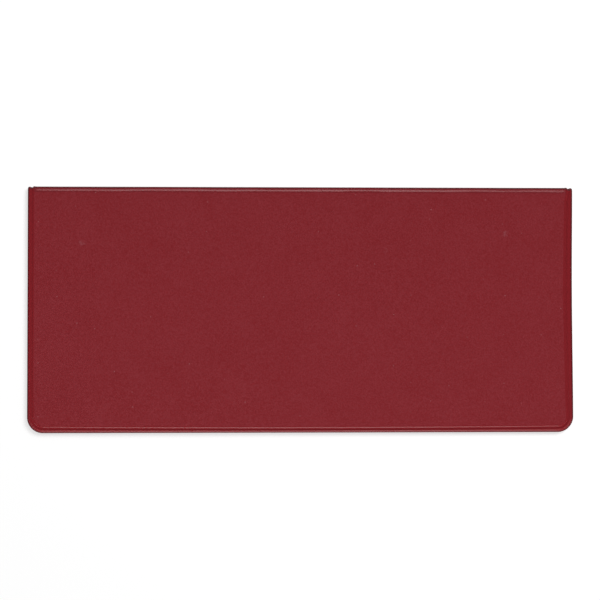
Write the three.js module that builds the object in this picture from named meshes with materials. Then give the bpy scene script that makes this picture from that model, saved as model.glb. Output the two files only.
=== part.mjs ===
// Certificate of deposit holder: a folded vinyl cover with two clear pockets, welded round its edge.
// Millimetres, +Z up. The closed holder lies on its back cover, with the fold along its +Y side.
// The origin is under the middle of the closed holder, on the surface that it lies on.

import * as THREE from 'three';

// Driving dimensions
const CLOSED_WIDTH = 225.4; // along the fold
const CLOSED_HEIGHT = 101.6; // from the open edge to the outside of the fold
const CORNER_RADIUS = 6.5; // the two rounded corners of each half, away from the fold
const COVER_SHEET = 0.5; // thickness of the opaque vinyl
const POCKET_SHEET = 0.2; // thickness of the clear vinyl
const POCKET_ROOM = 0.4; // clearance in a pocket, for a letter folded in three
const CLOSED_GAP = 0.8; // clearance between the closed halves, held open by the springy fold
const MOUTH_TO_FOLD = 12; // from a pocket's mouth to the outside of the fold
const MOUTH_RAMP = 0.6; // length over which the weld thins where the pocket sheet ends
const BEAD_WIDTH = 0.7; // rounded bead along the outermost edge of the weld
const BEAD_ROUND = 0.2; // rounding of the bead's edges
const GROOVE_WIDTH = 1.6; // groove that the welding tool presses beside the bead
const GROOVE_FLOOR = 0.1; // vinyl left under the groove where only the cover is welded
const FOLD_STRIP_TURN = Math.PI / 2; // how far the strip between the two creases curves
const CREASE_SLIT = 0.3; // clearance between the strip and each half, at a crease

// Facets
const CORNER_STEPS = 10; // round each corner
const LIP_STEPS = 5; // from a flat panel to its crease
const STRIP_STEPS = 10; // from crease to crease
const CURVE_STEPS = 4; // along each curve of the weld's cross-section

// Sizes that follow from them
const HALF_STACK = COVER_SHEET + POCKET_ROOM + POCKET_SHEET;
const THICKNESS = 2 * HALF_STACK + CLOSED_GAP;
const FOLD_RADIUS = THICKNESS / 2;
const WELD_WIDTH = BEAD_WIDTH + GROOVE_WIDTH;
const GROOVE_DEPTH = COVER_SHEET - GROOVE_FLOOR;
const EDGE_X = CLOSED_WIDTH / 2;
const OPEN_EDGE_Y = -CLOSED_HEIGHT / 2;
const FOLD_CENTRE_Y = CLOSED_HEIGHT / 2 - FOLD_RADIUS;
const MOUTH_Y = CLOSED_HEIGHT / 2 - MOUTH_TO_FOLD;
const CORNER_CENTRE_X = EDGE_X - CORNER_RADIUS;
const CORNER_CENTRE_Y = OPEN_EDGE_Y + CORNER_RADIUS;
const CREASE_ANGLE = (Math.PI - FOLD_STRIP_TURN) / 2;
const SLIT_ANGLE = CREASE_SLIT / 2 / FOLD_RADIUS;
const QUARTER_TURN = Math.PI / 2;

// Evenly spaced values from first to last, both included
function spread(first, last, steps) {
  return Array.from({ length: steps + 1 }, (_, i) => THREE.MathUtils.lerp(first, last, i / steps));
}

// A closed solid through matching cross-sections. Each ring is the outline in its place along the
// solid, and the flat outline, counter-clockwise, says how the two end faces are filled.
function loft(rings, outline) {
  const count = outline.length;
  const index = [];
  for (let ring = 0; ring + 1 < rings.length; ring++) {
    for (let side = 0; side < count; side++) {
      const here = ring * count + side;
      const beside = ring * count + ((side + 1) % count);
      index.push(here, beside, beside + count);
      index.push(here, beside + count, here + count);
    }
  }
  const last = (rings.length - 1) * count;
  for (const [a, b, c] of THREE.ShapeUtils.triangulateShape(outline, [])) {
    index.push(a, c, b);
    index.push(last + a, last + b, last + c);
  }
  const geometry = new THREE.BufferGeometry().setFromPoints(rings.flat());
  geometry.setIndex(index);
  return geometry;
}

// A station stands on the outer surface of the cover. A cross-section is drawn there in two
// directions: along `inward`, away from the edge, and along `normal`, out of the outer surface.
function place(outline, station) {
  return outline.map(({ x, y }) =>
    station.point.clone().addScaledVector(station.inward, x).addScaledVector(station.normal, y));
}

// A station on the underside of the back half
function flatStation(x, y, inwardX, inwardY) {
  return {
    point: new THREE.Vector3(x, y, 0),
    inward: new THREE.Vector3(inwardX, inwardY, 0),
    normal: new THREE.Vector3(0, 0, -1),
  };
}

// A station on the outline of the left (-1) or right (1) rounded corner, at an angle above sideways
function cornerStation(side, angle) {
  const outX = side * Math.cos(angle);
  const outY = Math.sin(angle);
  const x = side * CORNER_CENTRE_X + CORNER_RADIUS * outX;
  const y = CORNER_CENTRE_Y + CORNER_RADIUS * outY;
  return flatStation(x, y, -outX, -outY);
}

// A station in the middle of the fold's length, at an angle round it from the back panel
function foldStation(angle) {
  const normal = new THREE.Vector3(0, Math.sin(angle), -Math.cos(angle));
  const centre = new THREE.Vector3(0, FOLD_CENTRE_Y, FOLD_RADIUS);
  return {
    point: centre.addScaledVector(normal, FOLD_RADIUS),
    inward: new THREE.Vector3(1, 0, 0),
    normal,
  };
}

// The weld's profile, from the inner side of the groove over the bead to the underside of its edge,
// on vinyl `depth` thick
function weldProfile(depth) {
  const round = Math.min(BEAD_ROUND, COVER_SHEET / 3);
  const floorX = BEAD_WIDTH + GROOVE_WIDTH / 2;
  const ease = GROOVE_WIDTH / 4;
  const path = new THREE.Path();
  path.moveTo(WELD_WIDTH, 0);
  path.bezierCurveTo(WELD_WIDTH - ease, 0, floorX + ease, -GROOVE_DEPTH, floorX, -GROOVE_DEPTH);
  path.bezierCurveTo(floorX - ease, -GROOVE_DEPTH, BEAD_WIDTH + ease, 0, BEAD_WIDTH, 0);
  path.lineTo(round, 0);
  path.quadraticCurveTo(0, 0, 0, -round);
  path.lineTo(0, round - depth);
  path.quadraticCurveTo(0, -depth, round, -depth);
  return path.getPoints(CURVE_STEPS);
}

// Cross-section of a weld along an edge, measured inward from that edge
function weldOutline(depth) {
  return [...weldProfile(depth), new THREE.Vector2(WELD_WIDTH, -depth)];
}

// Cross-section of the cover from side edge to side edge, with the weld's profile at both ends
function foldOutline() {
  const left = weldProfile(COVER_SHEET).map(({ x, y }) => new THREE.Vector2(x - EDGE_X, y));
  const right = left.map(({ x, y }) => new THREE.Vector2(-x, y)).reverse();
  return [...right, ...left];
}

// Cross-section of a sheet: a rectangle centred on the station, between two depths
function sheetOutline(halfWidth, outerDepth, innerDepth) {
  return [
    new THREE.Vector2(-halfWidth, -innerDepth),
    new THREE.Vector2(halfWidth, -innerDepth),
    new THREE.Vector2(halfWidth, -outerDepth),
    new THREE.Vector2(-halfWidth, -outerDepth),
  ];
}

// A sheet inside the welds, between two depths, with rounded corners, up to endY
function sheetGeometry(outerDepth, innerDepth, endY) {
  const innerRadius = CORNER_RADIUS - WELD_WIDTH;
  const rows = spread(-QUARTER_TURN, 0, CORNER_STEPS).map((angle) => ({
    y: CORNER_CENTRE_Y + innerRadius * Math.sin(angle),
    halfWidth: CORNER_CENTRE_X + innerRadius * Math.cos(angle),
  }));
  rows.push({ y: endY, halfWidth: EDGE_X - WELD_WIDTH });
  const outlines = rows.map((row) => sheetOutline(row.halfWidth, outerDepth, innerDepth));
  return loft(rows.map((row, i) => place(outlines[i], flatStation(0, row.y, 1, 0))), outlines[0]);
}

// Weld along a side. It is as thick as cover, room and pocket together, and thins to the cover
// alone past the pocket's mouth.
function sideWeldGeometry(side) {
  const wholeStack = weldOutline(HALF_STACK);
  const coverOnly = weldOutline(COVER_SHEET);
  const rows = [
    [wholeStack, CORNER_CENTRE_Y],
    [wholeStack, MOUTH_Y],
    [coverOnly, MOUTH_Y + MOUTH_RAMP],
    [coverOnly, FOLD_CENTRE_Y],
  ];
  const upward = rows.map(([outline, y]) => place(outline, flatStation(side * EDGE_X, y, -side, 0)));
  return loft(side < 0 ? upward : upward.reverse(), coverOnly);
}

// Weld along the open edge, between the rounded corners
function edgeWeldGeometry() {
  const outline = weldOutline(HALF_STACK);
  const ends = [CORNER_CENTRE_X, -CORNER_CENTRE_X];
  return loft(ends.map((x) => place(outline, flatStation(x, OPEN_EDGE_Y, 0, 1))), outline);
}

// Weld round a corner, from the side to the open edge
function cornerWeldGeometry(side) {
  const outline = weldOutline(HALF_STACK);
  const turn = spread(0, -QUARTER_TURN, CORNER_STEPS);
  const angles = side > 0 ? turn : turn.reverse();
  return loft(angles.map((angle) => place(outline, cornerStation(side, angle))), outline);
}

// Cover round part of the fold, between two angles. The weld's groove runs over the fold at both
// ends, and nicks the holder's outline there.
function foldGeometry(startAngle, endAngle, steps) {
  const outline = foldOutline();
  const angles = spread(startAngle, endAngle, steps);
  return loft(angles.map((angle) => place(outline, foldStation(angle))), outline);
}

function coverVinyl() {
  return new THREE.MeshStandardMaterial({ color: 0x7f2a2f, roughness: 0.5, metalness: 0 });
}

function weldedVinyl() {
  return new THREE.MeshStandardMaterial({ color: 0x74212a, roughness: 0.3, metalness: 0 });
}

function clearVinyl() {
  return new THREE.MeshStandardMaterial({
    color: 0xe4e8ea, roughness: 0.12, metalness: 0, transparent: true, opacity: 0.3,
  });
}

function part(name, geometry, material) {
  const mesh = new THREE.Mesh(geometry, material);
  mesh.name = name;
  return mesh;
}

// One half of the holder, lying on its outer face: cover, pocket, the weld that joins them on three
// sides, and the lip that curls up to the crease. sideNames holds the names of its -X and +X sides.
function half(name, sideNames) {
  const group = new THREE.Group();
  const pocketDepth = COVER_SHEET + POCKET_ROOM;
  group.add(part(`${name}_cover`, sheetGeometry(0, COVER_SHEET, FOLD_CENTRE_Y), coverVinyl()));
  group.add(part(`${name}_pocket`, sheetGeometry(pocketDepth, HALF_STACK, MOUTH_Y), clearVinyl()));
  group.add(part(`${name}_edge_weld`, edgeWeldGeometry(), weldedVinyl()));
  [-1, 1].forEach((side, i) => {
    const sideName = `${name}_${sideNames[i]}`;
    group.add(part(`${sideName}_weld`, sideWeldGeometry(side), weldedVinyl()));
    group.add(part(`${sideName}_corner_weld`, cornerWeldGeometry(side), weldedVinyl()));
  });
  const lip = foldGeometry(0, CREASE_ANGLE - SLIT_ANGLE, LIP_STEPS);
  group.add(part(`${name}_fold_lip`, lip, coverVinyl()));
  return group;
}

// The closed holder: the front half is the back half turned over about the Y direction, and the
// strip between the creases joins them round the outside of the fold
const backHalf = half('back', ['left', 'right']);
const frontHalf = half('front', ['right', 'left']);
frontHalf.rotation.y = Math.PI;
frontHalf.position.z = THICKNESS;

const stripStart = CREASE_ANGLE + SLIT_ANGLE;
const strip = foldGeometry(stripStart, Math.PI - stripStart, STRIP_STEPS);

const holder = new THREE.Group();
holder.add(backHalf, part('fold_strip', strip, coverVinyl()), frontHalf);

export default holder;
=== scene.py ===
# Certificate of deposit holder: a folded vinyl cover with a clear pocket in each half.
# Metres, +Z up. The closed holder lies on its back, with the fold along its +Y side.

import math

import bpy
import numpy as np
from mathutils import Matrix, Vector


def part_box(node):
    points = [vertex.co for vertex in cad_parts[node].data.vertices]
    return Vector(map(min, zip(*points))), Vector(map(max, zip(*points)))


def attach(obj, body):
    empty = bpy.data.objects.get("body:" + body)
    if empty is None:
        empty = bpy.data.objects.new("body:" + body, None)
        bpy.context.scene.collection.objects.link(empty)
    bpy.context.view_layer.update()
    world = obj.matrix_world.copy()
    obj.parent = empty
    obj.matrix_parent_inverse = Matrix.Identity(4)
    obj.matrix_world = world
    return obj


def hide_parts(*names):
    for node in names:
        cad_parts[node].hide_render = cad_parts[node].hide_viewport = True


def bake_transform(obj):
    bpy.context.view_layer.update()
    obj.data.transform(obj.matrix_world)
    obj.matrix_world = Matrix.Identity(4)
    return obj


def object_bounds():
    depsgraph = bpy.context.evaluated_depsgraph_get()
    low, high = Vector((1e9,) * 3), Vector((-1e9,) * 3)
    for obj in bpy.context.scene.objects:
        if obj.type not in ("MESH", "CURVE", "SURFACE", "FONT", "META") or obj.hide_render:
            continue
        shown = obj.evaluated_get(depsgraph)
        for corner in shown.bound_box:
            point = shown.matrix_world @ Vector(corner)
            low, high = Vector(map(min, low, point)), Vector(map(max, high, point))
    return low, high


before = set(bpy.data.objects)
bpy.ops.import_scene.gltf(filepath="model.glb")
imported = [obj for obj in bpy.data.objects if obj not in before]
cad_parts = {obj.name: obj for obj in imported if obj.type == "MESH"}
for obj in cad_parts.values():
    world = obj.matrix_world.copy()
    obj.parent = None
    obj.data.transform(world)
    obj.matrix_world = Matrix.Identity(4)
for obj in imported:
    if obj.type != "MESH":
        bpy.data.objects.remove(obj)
cad_low, cad_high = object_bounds()

# Cover sheets
# The cover is one sheet of opaque burgundy vinyl with a fine matte grain, folded over at the top.
# It is a front and a back sheet here, which meet in the middle of the fold. Each reaches to the weld.
MM = 0.001
HALVES = ("back", "front")
SHOULDER_WIDTH = 0.35 * MM
cover_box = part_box("front_cover")
cover_thickness = cover_box[1].z - cover_box[0].z
weld_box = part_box("back_left_weld")
weld_width = weld_box[1].x - weld_box[0].x
border_width = weld_width + SHOULDER_WIDTH
corner_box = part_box("back_left_corner_weld")
corner_radius = corner_box[1].x - corner_box[0].x
corner_top = cad_low.y + corner_radius
fold_radius = cad_high.z / 2
fold_line = cad_high.y - fold_radius
fold_end = fold_line + fold_radius * math.pi / 2


def smooth_step(value):
    """0 below 0, 1 above 1, and a smooth rise between them."""
    share = np.clip(value, 0, 1)
    return share * share * (3 - 2 * share)


def slow_waves(place, wavelengths, seed):
    """The mean of slow sine waves along one direction, at most 1 from zero, the same each run."""
    phases = np.random.default_rng(seed).uniform(0, 2 * math.pi, len(wavelengths))
    waves = [np.sin(2 * math.pi * place / length + phase) for length, phase in zip(wavelengths, phases)]
    return np.mean(waves, axis=0)


def on_front(x, run, height):
    """Points of the front half: flat up to the fold line, then round the fold. The height is measured
    outwards from the outer face."""
    turn = np.maximum(run - fold_line, 0) / fold_radius
    radius = fold_radius + height
    y = np.minimum(run, fold_line) + radius * np.sin(turn)
    z = fold_radius + radius * np.cos(turn)
    return np.stack(np.broadcast_arrays(x, y, z), axis=-1)


def turned_over(points):
    """The same points on the back half."""
    return points * (-1, 1, -1) + (0, 0, cad_high.z)


CORNER_ROWS = 12
END_COLUMNS = 14
MIDDLE_COLUMNS = 120
END_REACH = 5 * MM


def sheet_grid(rows_above_corners):
    """x and run of a sheet inside the welded border, with its two rounded corners at the open edge."""
    inner_radius = corner_radius - border_width
    angles = np.linspace(-math.pi / 2, 0, CORNER_ROWS + 1)
    corner_runs = corner_top + inner_radius * np.sin(angles)
    half_widths = cad_high.x - corner_radius + inner_radius * np.cos(angles)
    runs = np.concatenate([corner_runs, rows_above_corners])
    half_widths = np.concatenate([half_widths, np.full(len(rows_above_corners), half_widths[-1])])
    end_share = END_REACH / half_widths[-1]
    left_end = np.linspace(-1, end_share - 1, END_COLUMNS + 1)[:-1]
    middle = np.linspace(end_share - 1, 1 - end_share, MIDDLE_COLUMNS + 1)
    columns = np.concatenate([left_end, middle, -left_end[::-1]])
    return half_widths[:, None] * columns[None, :], np.repeat(runs[:, None], len(columns), axis=1)


def from_the_weld(x, run):
    """Distance of a sheet's points from the nearest side of the welded border, leaving out the fold."""
    side = cad_high.x - border_width - np.abs(x)
    bottom = run - cad_low.y - border_width
    return np.minimum(side, bottom)


BOW_DEPTH = 0.32 * MM
BOW_CENTRE = 8 * MM
BOW_REACH = 52 * MM
BOW_FADE = 25 * MM
END_SHIFT = 0.4 * MM
RIGHT_SHIFT = 0.7 * MM
MIDDLE_SHIFT = 0.4 * MM
SHIFTED_BAND = (0.3 * MM, 1.0 * MM, border_width + 0.4 * MM, corner_radius)
SIDE_FADE = 20 * MM
FOLD_FADE = 5 * MM
RIM_ROLL = 0.2 * MM
RIM_REACH = 1.4 * MM


def drawn_in(points):
    """The same points on a soft holder. Its right side bows in half way along. The weld lies further
    in from the trimmed edge at the corners and on the right, as the tool was not quite square, and
    the rim rolls in a little towards the ends of the open edge."""
    x, y, z = points[..., 0], points[..., 1], points[..., 2]
    straight_x = cad_high.x - corner_radius
    centre_x = np.clip(x, -straight_x, straight_x)
    outward = np.stack([x - centre_x, y - np.maximum(y, corner_top)], axis=-1)
    reach = np.linalg.norm(outward, axis=-1)
    outward /= np.maximum(reach, MM)[..., None]
    from_edge = corner_radius - reach
    to_ends = (centre_x / straight_x) ** 2
    half_way = smooth_step(1 - np.abs(y - BOW_CENTRE) / BOW_REACH)
    up_side = smooth_step((y - cad_low.y) / SIDE_FADE)
    on_right = (RIGHT_SHIFT + MIDDLE_SHIFT * half_way) * smooth_step((fold_line - y) / FOLD_FADE)
    shift = to_ends * (END_SHIFT * (1 - up_side) + np.where(x > 0, on_right, 0) * up_side)
    banded = np.interp(from_edge, SHIFTED_BAND, (0, 1, 1, 0))
    rolled = RIM_ROLL * to_ends * -outward[..., 1] * np.maximum(1 - from_edge / RIM_REACH, 0)
    near_side = smooth_step(1 - (cad_high.x - border_width - x) / BOW_FADE)
    drawn = points.copy()
    drawn[..., :2] -= outward * (shift * banded)[..., None]
    drawn[..., 2] -= rolled * np.sign(z - fold_radius)
    drawn[..., 0] -= BOW_DEPTH * half_way * near_side
    return drawn


CUT_EDGE_ANGLE = math.radians(50)


def points_of(mesh):
    """The places of a mesh's points, one in each row."""
    places = np.zeros(len(mesh.vertices) * 3, np.float32)
    mesh.vertices.foreach_get("co", places)
    return places.reshape(-1, 3)


def finish_mesh(mesh):
    """Shades a mesh smooth up to its cut edges, and stores each point's place at rest, so that the
    grain stays on the vinyl when it bends."""
    mesh.shade_smooth()
    mesh.set_sharp_from_angle(angle=CUT_EDGE_ANGLE)
    places = points_of(mesh).ravel()
    mesh.attributes.new("rest_place", "FLOAT_VECTOR", "POINT").data.foreach_set("vector", places)


def closed_sheet(name, outer, inner):
    """A closed sheet between two grids of points, with a wall all round its edge."""
    rows, columns = outer.shape[:2]
    count = rows * columns
    index = np.arange(count).reshape(rows, columns)
    corners = [index[:-1, :-1], index[:-1, 1:], index[1:, 1:], index[1:, :-1]]
    top = np.stack(corners, axis=-1).reshape(-1, 4)
    bottom = top[:, ::-1] + count
    edge = np.concatenate([index[0], index[1:, -1], index[-1, -2::-1], index[-2:0:-1, 0]])
    after = np.roll(edge, -1)
    walls = np.stack([edge, edge + count, after + count, after], axis=-1)
    points = np.concatenate([outer.reshape(-1, 3), inner.reshape(-1, 3)])
    mesh = bpy.data.meshes.new(name)
    mesh.from_pydata(points.tolist(), [], np.concatenate([top, bottom, walls]).tolist())
    finish_mesh(mesh)
    return mesh


def half_sheet(name, half, x, run, height, thickness):
    """A closed sheet of one half, with its outer face at a height above the cover's outer face."""
    outer = on_front(x, run, height)
    inner = on_front(x, run, height - thickness)
    if half == "back":
        outer, inner = turned_over(outer), turned_over(inner)
    return closed_sheet(name, drawn_in(outer), drawn_in(inner))


def put_in_scene(name, data):
    """A new object with this data, in the scene."""
    thing = bpy.data.objects.new(name, data)
    bpy.context.scene.collection.objects.link(thing)
    return thing


def feed(tree, target, inputs):
    """Gives each named input of a node its value, or the socket that feeds it."""
    for name, value in inputs.items():
        if isinstance(value, bpy.types.NodeSocket):
            tree.links.new(value, target.inputs[name])
        else:
            target.inputs[name].default_value = value


def node(tree, kind, inputs=None, **settings):
    """Adds a node with these settings and inputs."""
    made = tree.nodes.new(kind)
    for name, value in settings.items():
        setattr(made, name, value)
    feed(tree, made, inputs or {})
    return made


def maths(tree, operation, first, second=0.0):
    """The result of a Math node."""
    return node(tree, "ShaderNodeMath", {0: first, 1: second}, operation=operation).outputs[0]


def vector_maths(tree, operation, inputs):
    """The vector that a Vector Math node gives."""
    return node(tree, "ShaderNodeVectorMath", inputs, operation=operation).outputs[0]


def ramp(tree, value, start, end, low=0.0, high=1.0, curve="LINEAR"):
    """Goes from low to high while the value goes from start to end."""
    ends = {"Value": value, "From Min": start, "From Max": end, "To Min": low, "To Max": high}
    return node(tree, "ShaderNodeMapRange", ends, interpolation_type=curve).outputs[0]


def mixed_value(tree, share, first, second):
    """A value between two others."""
    return node(tree, "ShaderNodeMix", {0: share, 2: first, 3: second}).outputs[0]


def mixed_colour(tree, share, first, second):
    """A colour between two others."""
    return node(tree, "ShaderNodeMix", {0: share, 6: first, 7: second}, data_type="RGBA").outputs[2]


def attribute(tree, name, output="Fac"):
    """What a mesh stores at each of its points under this name."""
    return node(tree, "ShaderNodeAttribute", attribute_name=name).outputs[output]


def add_sockets(tree, in_out, kinds):
    """Adds named sockets to a node group."""
    for name, kind in kinds.items():
        tree.interface.new_socket(name, in_out=in_out, socket_type=f"NodeSocket{kind}")


BLOTCHES = {"Scale": 90, "Detail": 2}
MOTTLING = {"Scale": 1800, "Detail": 3}
MOTTLING_SHARE = 0.85
COLOUR_SPREAD = (0.36, 0.64)
ROUGHNESS_SPREAD = (0.3, 0.7)
GRAIN_DETAIL = 4


def vinyl_surface_group():
    """Mottled colour, grain height and roughness of pressed vinyl, from a place on the sheet."""
    tree = bpy.data.node_groups.new("vinyl surface", "ShaderNodeTree")
    colours = dict.fromkeys(("Dark Colour", "Light Colour"), "Color")
    values = dict.fromkeys(("Grain Scale", "Smoothest", "Roughest"), "Float")
    add_sockets(tree, "INPUT", {"Place": "Vector"} | colours | values)
    add_sockets(tree, "OUTPUT", {"Colour": "Color", "Roughness": "Float", "Height": "Float"})
    given = node(tree, "NodeGroupInput").outputs
    place = {"Vector": given["Place"]}
    grain_size = {"Scale": given["Grain Scale"], "Detail": GRAIN_DETAIL}
    blotches = node(tree, "ShaderNodeTexNoise", place | BLOTCHES).outputs["Fac"]
    mottling = node(tree, "ShaderNodeTexNoise", place | MOTTLING).outputs["Fac"]
    grain = node(tree, "ShaderNodeTexNoise", place | grain_size).outputs["Fac"]
    tone = ramp(tree, mixed_value(tree, MOTTLING_SHARE, blotches, mottling), *COLOUR_SPREAD)
    colour = mixed_colour(tree, tone, given["Dark Colour"], given["Light Colour"])
    roughness = ramp(tree, mottling, *ROUGHNESS_SPREAD, given["Smoothest"], given["Roughest"])
    node(tree, "NodeGroupOutput", {"Colour": colour, "Roughness": roughness, "Height": grain})
    return tree


SMEAR_NOISE = {"Scale": 700, "Detail": 3}


def scattered_marks_group():
    """Soft round marks at random places on a sheet seen flat, a few of them strong."""
    tree = bpy.data.node_groups.new("scattered marks", "ShaderNodeTree")
    values = dict.fromkeys(("Cells", "Radius", "Bare Share", "Smear"), "Float")
    add_sockets(tree, "INPUT", {"Place": "Vector"} | values)
    add_sockets(tree, "OUTPUT", {"Mask": "Float"})
    given = node(tree, "NodeGroupInput").outputs
    noise = node(tree, "ShaderNodeTexNoise", {"Vector": given["Place"]} | SMEAR_NOISE).outputs["Color"]
    smear = vector_maths(tree, "SCALE", {0: noise, "Scale": given["Smear"]})
    smeared = vector_maths(tree, "ADD", {0: given["Place"], 1: smear})
    pattern = {"Vector": smeared, "Scale": given["Cells"]}
    cells = node(tree, "ShaderNodeTexVoronoi", pattern, voronoi_dimensions="2D").outputs
    near = ramp(tree, cells["Distance"], 0.0, given["Radius"], 1.0, 0.0, "SMOOTHSTEP")
    chance = node(tree, "ShaderNodeSeparateColor", {0: cells["Color"]}).outputs[0]
    strength = ramp(tree, chance, given["Bare Share"], 1.0)
    squared = maths(tree, "MULTIPLY", strength, strength)
    node(tree, "NodeGroupOutput", {"Mask": maths(tree, "MULTIPLY", near, squared)})
    return tree


def new_material(name):
    """A new material, its node tree and its Principled shader."""
    material = bpy.data.materials.new(name)
    material.use_nodes = True
    return material, material.node_tree, material.node_tree.nodes["Principled BSDF"]


def on_vinyl(tree, group, values):
    """A node group's outputs in a material, at the places that the vinyl has at rest."""
    place = {"Place": attribute(tree, "rest_place", "Vector")}
    return node(tree, "ShaderNodeGroup", place | values, node_tree=group).outputs


def bumped(tree, height, distance):
    """Surface normals for a fine relief."""
    return node(tree, "ShaderNodeBump", {"Height": height, "Distance": distance}).outputs[0]


vinyl_surface = vinyl_surface_group()
scattered_marks = scattered_marks_group()
VINYL_SPECULAR = 0.38
GRAIN_SCALE = 1800
GRAIN_HEIGHT = 0.05 * MM
# The light colour is paler and greyer: random tone of the grain, with painted glints off its peaks.
COVER_SURFACE = {
    "Dark Colour": (0.191, 0.0128, 0.0171, 1),
    "Light Colour": (0.219, 0.0228, 0.0299, 1),
    "Grain Scale": GRAIN_SCALE,
    "Smoothest": 0.28,
    "Roughest": 0.42,
}
STRETCHED_ROUGHNESS = 0.3
STRETCHED_GRAIN = 0.1
# Painted shade: the colour that the outside of the fold loop is darkened towards.
FULL_SHADE = (0, 0, 0, 1)
RUB_MARKS = {"Cells": 23, "Radius": 0.035, "Bare Share": 0.65, "Smear": 5 * MM}
RUB_COLOUR = (0.235, 0.045, 0.054, 1)
DUST_SPECKS = {"Cells": 130, "Radius": 0.045, "Bare Share": 0.7, "Smear": 0.1 * MM}
DUST_COLOUR = (0.32, 0.12, 0.13, 1)


def cover_vinyl():
    """Burgundy vinyl with a fine pressed grain, pale specks of dust and a few faint rub marks. It is
    smoother where it is stretched over the fold, and painted shade darkens the outside of the loop
    there."""
    material, tree, shader = new_material("cover vinyl")
    surface = on_vinyl(tree, vinyl_surface, COVER_SURFACE)
    # Painted shade, stored on the outside of the fold loop, darkens the colour there.
    colour = mixed_colour(tree, attribute(tree, "shade"), surface["Colour"], FULL_SHADE)
    for marks, pale in ((RUB_MARKS, RUB_COLOUR), (DUST_SPECKS, DUST_COLOUR)):
        colour = mixed_colour(tree, on_vinyl(tree, scattered_marks, marks)["Mask"], colour, pale)
    stretch = attribute(tree, "stretch")
    grain_left = ramp(tree, stretch, 0.0, 1.0, 1.0, STRETCHED_GRAIN)
    height = maths(tree, "MULTIPLY", surface["Height"], grain_left)
    finish = {
        "Base Color": colour,
        "Roughness": mixed_value(tree, stretch, surface["Roughness"], STRETCHED_ROUGHNESS),
        "Specular IOR Level": VINYL_SPECULAR,
        "Normal": bumped(tree, height, GRAIN_HEIGHT),
    }
    feed(tree, shader, finish)
    return material


LOOP_START = -0.6 * MM
LOOP_CREST = 0.6 * MM
LOOP_END = 1.55 * MM
LOOP_RISE = {"front": 0.55 * MM, "back": 0.0}
LOOP_SEED = {"back": 0, "front": 10}
LOOP_SWELL = 0.22
SWELL_WAVES = (31 * MM, 53 * MM, 97 * MM)
LOOP_DRIFT = 0.15 * MM
DRIFT_WAVES = (43 * MM, 71 * MM, 23 * MM)
FOLD_PRESS = 0.08 * MM
CREASE_PLACE = -0.55 * MM
CREASE_REACH = 0.4 * MM
CREASE_DIP = 0.11
PUFF_REACH = 0.9 * MM


def loop_height(x, run, half):
    """Height of the springy loop that stands above the panel along the fold, between the side welds.
    It swells and narrows a little along its length."""
    swell = 1 + LOOP_SWELL * slow_waves(x, SWELL_WAVES, LOOP_SEED[half])
    past = run - fold_line + LOOP_DRIFT * slow_waves(x, DRIFT_WAVES, LOOP_SEED[half] + 1)
    up = smooth_step((past - LOOP_START) / (LOOP_CREST - LOOP_START))
    down = smooth_step((past - LOOP_CREST) / (LOOP_END - LOOP_CREST))
    dip = smooth_step(1 - np.abs(past - CREASE_PLACE) / CREASE_REACH)
    puff = smooth_step((cad_high.x - border_width - np.abs(x)) / PUFF_REACH)
    pressed = FOLD_PRESS * puff * smooth_step((run - fold_line - LOOP_CREST) / fold_radius)
    return LOOP_RISE[half] * swell * puff * (up * (1 - down) - CREASE_DIP * dip) - pressed


PANEL_WAVE = 0.06 * MM
PANEL_SEED = {"back": 5, "front": 15}
CROSSWISE_SLANT = 0.6
CROSSWISE_WAVES = (61 * MM, 97 * MM)
LENGTHWISE_SLANT = 0.4
LENGTHWISE_WAVES = (47 * MM, 83 * MM)
WAVES_END = 2 * CREASE_PLACE
PANEL_FADE = 14 * MM


def panel_height(x, run, half):
    """Slow waves of a sheet that has lain in a drawer, none of them at the welds or the fold."""
    crosswise = slow_waves(x + CROSSWISE_SLANT * run, CROSSWISE_WAVES, PANEL_SEED[half])
    lengthwise = slow_waves(run - LENGTHWISE_SLANT * x, LENGTHWISE_WAVES, PANEL_SEED[half] + 1)
    to_edge = np.minimum(from_the_weld(x, run), fold_line + WAVES_END - run)
    return PANEL_WAVE * (crosswise + lengthwise) * smooth_step(to_edge / PANEL_FADE)


PANEL_ROWS = 52
LOOP_ROWS = 26
FOLD_ROWS = 22
LOOP_REACH = 5 * MM
SEAM_STRIP = 0.08 * MM
STRETCH_REACH = 1.4 * MM
LOOP_SHADE = 0.2
SHADE_REACH = 0.5 * MM
loop_start = fold_line - LOOP_REACH
seam_start = fold_end - SEAM_STRIP
cover_rows = np.concatenate(
    [
        np.linspace(corner_top, loop_start, PANEL_ROWS + 1)[1:],
        np.linspace(loop_start, fold_line, LOOP_ROWS + 1)[1:],
        np.linspace(fold_line, seam_start, FOLD_ROWS + 1)[1:],
        [fold_end],
    ]
)
cover_material = cover_vinyl()
holder_pieces = []
for half in HALVES:
    x, run = sheet_grid(cover_rows)
    height = loop_height(x, run, half) + panel_height(x, run, half)
    mesh = half_sheet(f"{half}_cover_sheet", half, x, run, height, cover_thickness)
    stretch = smooth_step(1 + (run - fold_line) / STRETCH_REACH).ravel()
    mesh.attributes.new("stretch", "FLOAT", "POINT").data.foreach_set("value", np.tile(stretch, 2))
    # Painted shade over the outside of the fold loop, where it turns from the light; none on the inside.
    shade = LOOP_SHADE * smooth_step(1 + (run - fold_line - LOOP_START) / SHADE_REACH).ravel()
    outside_only = np.append(shade, np.zeros(len(shade)))
    mesh.attributes.new("shade", "FLOAT", "POINT").data.foreach_set("value", outside_only)
    mesh.materials.append(cover_material)
    cover = put_in_scene(mesh.name, mesh)
    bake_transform(cover)
    holder_pieces.append(cover)
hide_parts("back_cover", "back_fold_lip")
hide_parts("front_cover", "front_fold_lip", "fold_strip")

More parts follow.
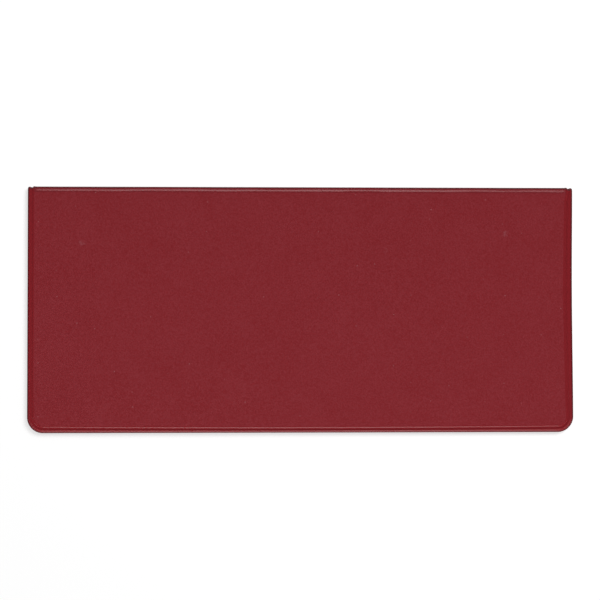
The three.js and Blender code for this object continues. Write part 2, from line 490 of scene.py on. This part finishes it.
# Pockets
# A sheet of clear glossy vinyl lies inside each half, held by the weld on three sides. Its mouth,
# towards the fold, is a plain cut edge that stands a little open.
pocket_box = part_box("back_pocket")
pocket_thickness = pocket_box[1].z - pocket_box[0].z
pocket_depth = pocket_box[0].z
mouth = pocket_box[1].y
POCKET_ROWS = 60
RIPPLE_HEIGHT = 0.16 * MM
RIPPLE_SEED = {"back": 100, "front": 101}
RIPPLE_SLANT = 0.35
RIPPLE_WAVES = (29 * MM, 41 * MM, 67 * MM)
RIPPLE_FADE = 12 * MM
MOUTH_LIFT = 0.12 * MM
MOUTH_REACH = 35 * MM
POCKET_TINT = (0.93, 0.95, 0.96, 1)
POCKET_IOR = 1.5
POCKET_SURFACE = {"Grain Scale": 260, "Smoothest": 0.06, "Roughest": 0.16}
HAZE_HEIGHT = 0.01 * MM


def clear_vinyl():
    """Clear vinyl, glossy, with a faint haze of handling marks."""
    material, tree, shader = new_material("clear vinyl")
    surface = on_vinyl(tree, vinyl_surface, POCKET_SURFACE)
    finish = {
        "Base Color": POCKET_TINT,
        "Roughness": surface["Roughness"],
        "IOR": POCKET_IOR,
        "Transmission Weight": 1,
        "Normal": bumped(tree, surface["Height"], HAZE_HEIGHT),
    }
    feed(tree, shader, finish)
    return material


pocket_rows = np.linspace(corner_top, mouth, POCKET_ROWS + 1)[1:]
pocket_material = clear_vinyl()
for half in HALVES:
    x, run = sheet_grid(pocket_rows)
    ripple = slow_waves(x + RIPPLE_SLANT * run, RIPPLE_WAVES, RIPPLE_SEED[half])
    open_share = smooth_step(1 - (mouth - run) / MOUTH_REACH)
    held = smooth_step(from_the_weld(x, run) / RIPPLE_FADE)
    height = held * (RIPPLE_HEIGHT * ripple - MOUTH_LIFT * open_share) - pocket_depth
    mesh = half_sheet(f"{half}_pocket_sheet", half, x, run, height, pocket_thickness)
    mesh.materials.append(pocket_material)
    pocket = put_in_scene(mesh.name, mesh)
    pocket.visible_shadow = False
    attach(pocket, f"{half}_half")
    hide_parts(f"{half}_pocket")
    holder_pieces.append(pocket)

# Welded border
# The welding tool melts cover and pocket together along three edges and trims them in the same
# stroke. It leaves a rounded bead on the outside, a smooth groove beside it, and runs over the fold.
stack_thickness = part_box("back_edge_weld")[1].z
GROOVE_CENTRE = 1.68 * MM
border_sizes = {
    "Border Width": border_width,
    "Weld Width": weld_width,
    "Lip Rise": 0.02 * MM,
    "Groove Centre": GROOVE_CENTRE,
    "Groove Floor": 0.4 * MM,
    "Groove Depth": 0.2 * MM,
    "Bead Width": 1.0 * MM,
    "Bead Drop": 0.42 * MM,
    "Sheet": cover_thickness,
    "Extra Stack": stack_thickness - cover_thickness,
    "Rounding": 0.25 * MM,
    "Mouth": mouth,
    "Ramp": 0.6 * MM,
    "Outer Level": cad_high.z,
    "Fold Line": fold_line,
    "Fold Radius": fold_radius,
    "Notch Centre": 1.4 * MM,
    "Notch Depth": 0.62 * MM,
    "Notch Reach": 0.7 * MM,
    "Unevenness": 0.05 * MM,
}
SIDE_STEPS = 90
CORNER_STEPS = 28
HALF_EDGE_STEPS = 110


def border_path():
    """The outline of the front half's outer face, from the middle of the fold on the left, round the
    open edge, to the middle of the fold on the right."""
    fold_runs = np.append(fold_end, np.linspace(seam_start, fold_line, FOLD_ROWS + 1))
    side_runs = np.append(fold_runs, np.linspace(fold_line, corner_top, SIDE_STEPS + 1)[1:])
    side = on_front(np.full(len(side_runs), cad_low.x), side_runs, 0.0)
    angles = np.linspace(math.pi, 1.5 * math.pi, CORNER_STEPS + 1)[1:]
    edge_start = cad_low.x + corner_radius
    corner_x = edge_start + corner_radius * np.cos(angles)
    corner = on_front(corner_x, corner_top + corner_radius * np.sin(angles), 0.0)
    edge_x = np.linspace(edge_start, 0, HALF_EDGE_STEPS + 1)[1:]
    edge = on_front(edge_x, np.full(len(edge_x), cad_low.y), 0.0)
    left = np.concatenate([side, corner, edge])
    return np.concatenate([left, left[-2::-1] * (-1, 1, 1)])


def place_axes(tree):
    """The X, Y and Z of each point."""
    position = node(tree, "GeometryNodeInputPosition").outputs[0]
    return node(tree, "ShaderNodeSeparateXYZ", {0: position}).outputs


def place_inward(tree):
    """How far in each point lies from the trimmed edge."""
    stored = {"Name": "inward"}
    return node(tree, "GeometryNodeInputNamedAttribute", stored, data_type="FLOAT").outputs[0]


BEAD_STEPS = 6
BEAD_CURVE = 1.25
SHARP_CORNERS = 3
FILLET_STEPS = 5


def weld_profile(tree, given):
    """The weld's cross-section as a closed curve: shoulder, lip, groove, bead and flat underside. Only
    its outer side is rounded. Each point stores how far in it lies from the trimmed edge."""
    lip = maths(tree, "MULTIPLY", given["Lip Rise"], -1.0)
    half_floor = maths(tree, "MULTIPLY", given["Groove Floor"], 0.5)
    groove_inside = maths(tree, "ADD", given["Groove Centre"], half_floor)
    groove_outside = maths(tree, "SUBTRACT", given["Groove Centre"], half_floor)
    corners = [
        (given["Border Width"], 0.0),
        (given["Weld Width"], lip),
        (groove_inside, given["Groove Depth"]),
        (groove_outside, given["Groove Depth"]),
    ]
    for share in np.linspace(0, 1, BEAD_STEPS + 1).tolist():
        inward = maths(tree, "MULTIPLY", given["Bead Width"], 1 - share)
        corners.append((inward, maths(tree, "MULTIPLY", given["Bead Drop"], share**BEAD_CURVE)))
    corners.append((0.0, given["Sheet"]))
    corners.append((given["Border Width"], given["Sheet"]))
    index = node(tree, "GeometryNodeInputIndex").outputs[0]
    chosen = node(tree, "GeometryNodeIndexSwitch", {"Index": index}, data_type="VECTOR")
    while len(chosen.index_switch_items) < len(corners):
        chosen.index_switch_items.new()
    for number, (inward, depth) in enumerate(corners):
        across = maths(tree, "MULTIPLY", inward, -1.0)
        corner = node(tree, "ShaderNodeCombineXYZ", {"X": across, "Y": depth}).outputs[0]
        feed(tree, chosen, {str(number): corner})
    line = node(tree, "GeometryNodeMeshLine", {"Count": len(corners)}).outputs[0]
    shape = {"Geometry": line, "Position": chosen.outputs[0]}
    shaped = node(tree, "GeometryNodeSetPosition", shape).outputs[0]
    outline = node(tree, "GeometryNodeMeshToCurve", {"Mesh": shaped}).outputs[0]
    closed = node(tree, "GeometryNodeSetSplineCyclic", {"Geometry": outline, "Cyclic": True}).outputs[0]
    after_first = maths(tree, "GREATER_THAN", index, 0.0)
    before_edge = maths(tree, "LESS_THAN", index, len(corners) - SHARP_CORNERS)
    rounded = maths(tree, "MULTIPLY", after_first, before_edge)
    radius = maths(tree, "MULTIPLY", given["Rounding"], rounded)
    fillet = {"Curve": closed, "Count": FILLET_STEPS, "Radius": radius, "Limit Radius": True}
    profile = node(tree, "GeometryNodeFilletCurve", fillet, mode="POLY").outputs[0]
    across = place_axes(tree)["X"]
    stored = {"Geometry": profile, "Name": "inward", "Value": maths(tree, "MULTIPLY", across, -1.0)}
    marked = node(tree, "GeometryNodeStoreNamedAttribute", stored, data_type="FLOAT", domain="POINT")
    return marked.outputs[0]


UNDERSIDE_SHARE = 0.97


def pocket_stack(tree, given):
    """Moves the underside in where a pocket is welded to the cover, with a short ramp at its mouth."""
    axes = place_axes(tree)
    below = maths(tree, "SUBTRACT", given["Outer Level"], axes["Z"])
    depth = maths(tree, "DIVIDE", below, given["Sheet"])
    underside = maths(tree, "GREATER_THAN", depth, UNDERSIDE_SHARE)
    ramp_end = maths(tree, "ADD", given["Mouth"], given["Ramp"])
    doubled = ramp(tree, axes["Y"], given["Mouth"], ramp_end, 1.0, 0.0)
    deeper = maths(tree, "MULTIPLY", maths(tree, "MULTIPLY", underside, doubled), given["Extra Stack"])
    down = maths(tree, "MULTIPLY", deeper, -1.0)
    return node(tree, "ShaderNodeCombineXYZ", {"Z": down}).outputs[0]


FULL_NOTCH_SHARE = 0.7


def fold_notch(tree, given):
    """Crimps the weld towards the fold's axis between the bead and the groove. The notch deepens from
    the fold line on, up to a share of the fold's radius."""
    axes = place_axes(tree)
    off_centre = maths(tree, "SUBTRACT", place_inward(tree), given["Notch Centre"])
    off_centre = maths(tree, "ABSOLUTE", off_centre)
    in_groove = ramp(tree, off_centre, 0.0, given["Notch Reach"], 1.0, 0.0)
    past_fold = maths(tree, "SUBTRACT", axes["Y"], given["Fold Line"])
    deepest = maths(tree, "MULTIPLY", given["Fold Radius"], FULL_NOTCH_SHARE)
    round_fold = ramp(tree, past_fold, 0.0, deepest, curve="SMOOTHSTEP")
    above_axis = maths(tree, "SUBTRACT", axes["Z"], given["Fold Radius"])
    from_axis = node(tree, "ShaderNodeCombineXYZ", {"Y": past_fold, "Z": above_axis}).outputs[0]
    outwards = vector_maths(tree, "NORMALIZE", {0: from_axis})
    share = maths(tree, "MULTIPLY", in_groove, round_fold)
    crimp = maths(tree, "MULTIPLY", share, maths(tree, "MULTIPLY", given["Notch Depth"], -1.0))
    return vector_maths(tree, "SCALE", {0: outwards, "Scale": crimp})


WANDER_NOISE = {"Scale": 60.0, "Detail": 2.0}
NOISE_MIDDLE = (0.5, 0.5, 0.5)


def loose_rim(tree, given):
    """Lets the bead and the groove wander a little, and holds the shoulder where the cover joins it."""
    free = ramp(tree, place_inward(tree), given["Groove Centre"], given["Border Width"], 1.0, 0.0)
    position = node(tree, "GeometryNodeInputPosition").outputs[0]
    pattern = {"Vector": position, "W": given["Seed"]} | WANDER_NOISE
    noise = node(tree, "ShaderNodeTexNoise", pattern, noise_dimensions="4D").outputs["Color"]
    centred = vector_maths(tree, "SUBTRACT", {0: noise, 1: NOISE_MIDDLE})
    reach = maths(tree, "MULTIPLY", given["Unevenness"], free)
    return vector_maths(tree, "SCALE", {0: centred, "Scale": reach})


def weld_border_tree():
    """Sweeps the weld's cross-section along a border path and shapes it as the tool leaves it."""
    tree = bpy.data.node_groups.new("weld border", "GeometryNodeTree")
    sizes = dict.fromkeys(border_sizes, "Float")
    add_sockets(tree, "INPUT", {"Path": "Geometry"} | sizes | {"Seed": "Float", "Material": "Material"})
    add_sockets(tree, "OUTPUT", {"Border": "Geometry"})
    given = node(tree, "NodeGroupInput").outputs
    sweep = {"Curve": given["Path"], "Profile Curve": weld_profile(tree, given), "Fill Caps": True}
    border = node(tree, "GeometryNodeCurveToMesh", sweep).outputs[0]
    for offset in (pocket_stack(tree, given), fold_notch(tree, given), loose_rim(tree, given)):
        border = node(tree, "GeometryNodeSetPosition", {"Geometry": border, "Offset": offset}).outputs[0]
    border = node(tree, "GeometryNodeRealizeInstances", {"Geometry": border}).outputs[0]
    dress = {"Geometry": border, "Material": given["Material"]}
    node(tree, "NodeGroupOutput", {"Border": node(tree, "GeometryNodeSetMaterial", dress).outputs[0]})
    return tree


WELD_SURFACE = {
    "Dark Colour": (0.189, 0.0098, 0.0139, 1),
    "Light Colour": (0.197, 0.0110, 0.0153, 1),
    "Grain Scale": GRAIN_SCALE,
    "Smoothest": 0.28,
    "Roughest": 0.32,
}
SHOULDER_GRAIN = 0.25
TRIMMED_WIDTH = (0.3 * MM, 0.6 * MM)
TRIMMED_ROUGHNESS = 0.4
# Painted shade: a darker burgundy on the steep outer flank of the trimmed edge.
SHADED_EDGE_BURGUNDY = (0.096, 0.0048, 0.0074, 1)


def welded_vinyl():
    """Burgundy vinyl that the hot tool has pressed smooth. A trace of the grain is left on the
    shoulder, and the trimmed edge is duller, with painted shade darkening its steep outer flank."""
    material, tree, shader = new_material("welded vinyl")
    surface = on_vinyl(tree, vinyl_surface, WELD_SURFACE)
    inward = attribute(tree, "inward")
    grain_left = ramp(tree, inward, GROOVE_CENTRE, border_width, 0.0, SHOULDER_GRAIN)
    height = maths(tree, "MULTIPLY", surface["Height"], grain_left)
    # The trimmed strip is rougher, which is real, and darker in colour, which is painted shade.
    trimmed = ramp(tree, inward, *TRIMMED_WIDTH, 1.0, 0.0, "SMOOTHSTEP")
    finish = {
        "Base Color": mixed_colour(tree, trimmed, surface["Colour"], SHADED_EDGE_BURGUNDY),
        "Roughness": mixed_value(tree, trimmed, surface["Roughness"], TRIMMED_ROUGHNESS),
        "Specular IOR Level": VINYL_SPECULAR,
        "Normal": bumped(tree, height, GRAIN_HEIGHT),
    }
    feed(tree, shader, finish)
    return material


UNEVEN_SEED = {"back": 0.0, "front": 1.0}
turn_over = Matrix.Translation((0, 0, cad_high.z)) @ Matrix.Rotation(math.pi, 4, "Y")
weld_material = welded_vinyl()
border_tree = weld_border_tree()
for half in HALVES:
    points = border_path()
    path = bpy.data.curves.new("border path", "CURVE")
    path.dimensions = "3D"
    spline = path.splines.new("POLY")
    spline.points.add(len(points) - 1)
    spline.points.foreach_set("co", np.column_stack([points, np.ones(len(points))]).ravel())
    route = put_in_scene("border route", path)
    sweep = route.modifiers.new("weld border", "NODES")
    sweep.node_group = border_tree
    values = border_sizes | {"Seed": UNEVEN_SEED[half], "Material": weld_material}
    for socket in border_tree.interface.items_tree:
        if socket.name in values:
            sweep[socket.identifier] = values[socket.name]
    evaluated = route.evaluated_get(bpy.context.evaluated_depsgraph_get())
    mesh = bpy.data.meshes.new_from_object(evaluated)
    bpy.data.objects.remove(route)
    mesh.name = f"{half}_weld_border"
    if half == "back":
        mesh.transform(turn_over)
    mesh.vertices.foreach_set("co", drawn_in(points_of(mesh)).ravel())
    finish_mesh(mesh)
    border = put_in_scene(mesh.name, mesh)
    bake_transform(border)
    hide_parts(f"{half}_edge_weld", f"{half}_left_weld", f"{half}_right_weld")
    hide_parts(f"{half}_left_corner_weld", f"{half}_right_corner_weld")
    holder_pieces.append(border)

# Floor
# A matte white table top, far wider than the picture, on which the holder lies. It keeps the soft
# shadow, and is lifted to plain white where the camera, the gloss and the clear pockets see it.
FLOOR_REACH = 12.0
FLOOR_DROP = 0.1 * MM
FLOOR_COLOUR = (0.8, 0.8, 0.8, 1)
FLOOR_LIFT = 0.675
CONTACT_REACH = 300 * MM
WHITE = (1, 1, 1, 1)
floor_corners = [
    (-FLOOR_REACH, -FLOOR_REACH, -FLOOR_DROP),
    (FLOOR_REACH, -FLOOR_REACH, -FLOOR_DROP),
    (FLOOR_REACH, FLOOR_REACH, -FLOOR_DROP),
    (-FLOOR_REACH, FLOOR_REACH, -FLOOR_DROP),
]
floor_mesh = bpy.data.meshes.new("floor")
floor_mesh.from_pydata(floor_corners, [], [(0, 1, 2, 3)])
floor_material, tree, shader = new_material("white table top")
ray = node(tree, "ShaderNodeLightPath").outputs
mirrored = maths(tree, "MAXIMUM", ray["Is Glossy Ray"], ray["Is Transmission Ray"])
far = maths(tree, "GREATER_THAN", ray["Ray Length"], CONTACT_REACH)
direct = maths(tree, "LESS_THAN", ray["Diffuse Depth"], 1)
mirrored = maths(tree, "MULTIPLY", maths(tree, "MULTIPLY", mirrored, far), direct)
seen = maths(tree, "MAXIMUM", ray["Is Camera Ray"], mirrored)
finish = {
    "Base Color": FLOOR_COLOUR,
    "Roughness": 1,
    "Specular IOR Level": 0,
    "Emission Color": WHITE,
    "Emission Strength": maths(tree, "MULTIPLY", seen, FLOOR_LIFT),
}
feed(tree, shader, finish)
floor_mesh.materials.append(floor_material)
floor = put_in_scene("floor", floor_mesh)

# Light
# Of the lamps, only the soft box in front shows in the vinyl's gloss: the copy lamps, one at each side
# and a low one behind, are polarised. The table lamp lights the table alone. The room is dim, with
# paler walls, and plain white to the camera and through the clear pockets.
for name, place, size, watts, lit, in_gloss in (
    ("front soft box", (0.1, -2.46, 1.72), (1.4, 1.56), 25.0, holder_pieces, True),
    ("left copy lamp", (-1.9, -1.4, 1.9), (1.5, 1.5), 45.0, holder_pieces, False),
    ("right copy lamp", (1.9, -1.4, 1.9), (1.5, 1.5), 71.0, holder_pieces, False),
    ("back copy lamp", (0, 2.2, 0.1), (1.6, 0.18), 15.0, holder_pieces, False),
    ("table lamp", (0.5, 0.5, 1.0), (0.6, 0.6), 6.6, [floor], True),
):
    light = bpy.data.lights.new(name, "AREA")
    light.shape = "RECTANGLE"
    light.size, light.size_y = size
    light.energy = watts
    lamp = put_in_scene(name, light)
    lamp.location = place
    lamp.rotation_euler = (-Vector(place)).to_track_quat("-Z", "Y").to_euler()
    lamp.visible_glossy = in_gloss
    receivers = bpy.data.collections.new(f"lit by {name}")
    for piece in lit:
        receivers.objects.link(piece)
    lamp.light_linking.receiver_collection = receivers

WALL_FOOT = 0.05
WALL_TOP = 0.4
WALL_LEVEL = 0.22
CEILING_LEVEL = 0.12
world = bpy.data.worlds.new("room")
world.use_nodes = True
bpy.context.scene.world = world
tree = world.node_tree
way = node(tree, "ShaderNodeTexCoord").outputs["Generated"]
up = node(tree, "ShaderNodeSeparateXYZ", {0: way}).outputs["Z"]
level = ramp(tree, up, WALL_FOOT, WALL_TOP, WALL_LEVEL, CEILING_LEVEL)
ray = node(tree, "ShaderNodeLightPath").outputs
bounces = maths(tree, "ADD", ray["Diffuse Depth"], ray["Glossy Depth"])
direct = maths(tree, "LESS_THAN", bounces, 1)
through = maths(tree, "MULTIPLY", ray["Is Transmission Ray"], direct)
seen = maths(tree, "MAXIMUM", ray["Is Camera Ray"], through)
feed(tree, tree.nodes["Background"], {"Color": WHITE, "Strength": maths(tree, "MAXIMUM", seen, level)})

# Camera
# A long lens looks down on the holder from about 0.6 m, some 2 degrees off square, and the holder's
# width nearly fills the frame.
LENS = 85
SENSOR_WIDTH = 36
CAMERA_PLACE = (-18.118 * MM, -8.290 * MM, 587.607 * MM)
CAMERA_TURN = (1.1967, -1.7067, -0.0112)
camera_data = bpy.data.cameras.new("camera")
camera_data.lens = LENS
camera_data.sensor_width = SENSOR_WIDTH
camera = put_in_scene("camera", camera_data)
camera.location = CAMERA_PLACE
camera.rotation_euler = [math.radians(angle) for angle in CAMERA_TURN]
bpy.context.scene.camera = camera
bpy.context.scene.view_settings.view_transform = "Standard"
